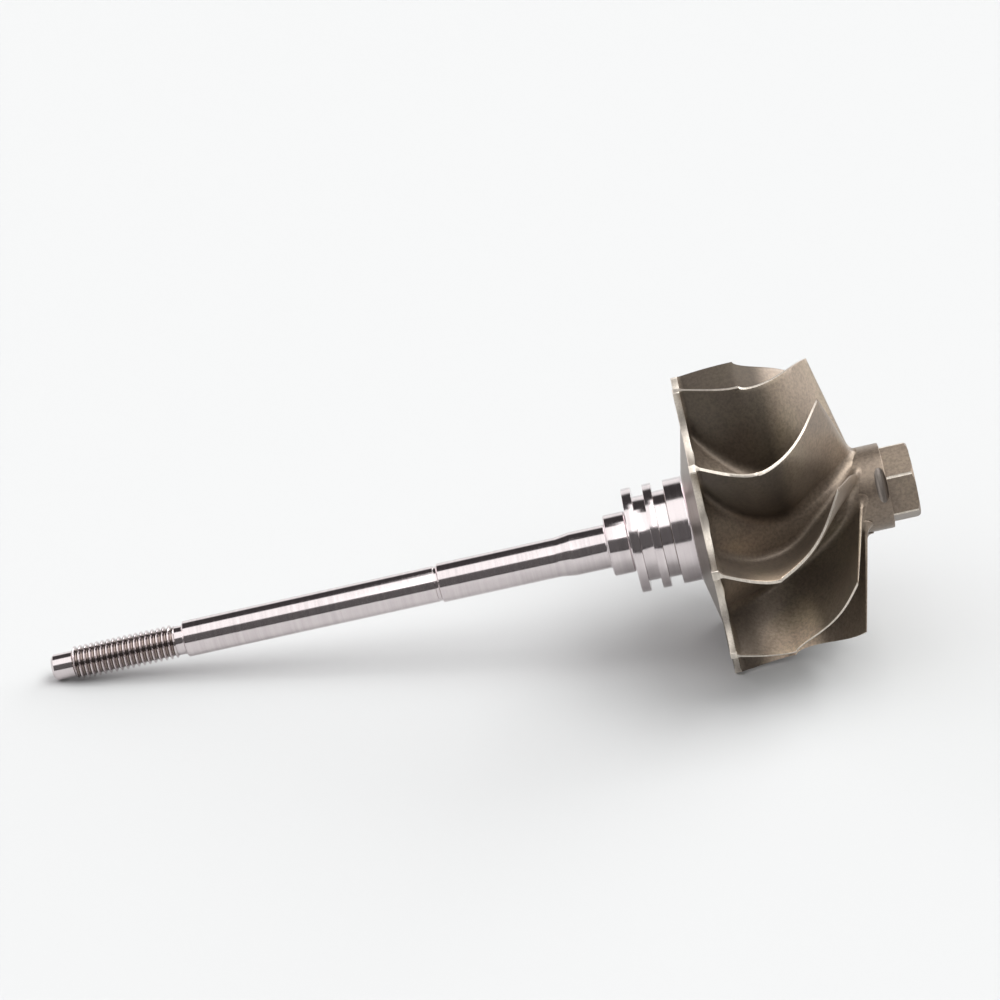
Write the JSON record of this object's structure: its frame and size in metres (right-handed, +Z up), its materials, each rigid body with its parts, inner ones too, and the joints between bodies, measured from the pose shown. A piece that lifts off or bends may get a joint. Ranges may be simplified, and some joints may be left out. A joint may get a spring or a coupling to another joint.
{
  "type": "turbocharger shaft and wheel",
  "caption": "Cast turbine wheel with twisted blades and a scalloped back, welded to a slim turned shaft with journal, seal flanges and threaded end.",
  "frame": {"origin": "on the floor, under the middle of the part's box, in the pose in which it rests on its thread tip and two blade tips", "axes": "+X along the shaft's level run from the thread tip towards the wheel's nose, +Z up; the shaft rises 11.2 degrees towards the wheel"},
  "size_m": [0.1514, 0.0526, 0.0527],
  "materials": {
    "turned_steel": "bright, turned and ground",
    "cast_alloy": "as cast, matt grain, with ground blade edges"
  },
  "bodies": {
    "root": {"shaft": "turned_steel", "turbine_wheel": "cast_alloy"}
  },
  "joints": []
}
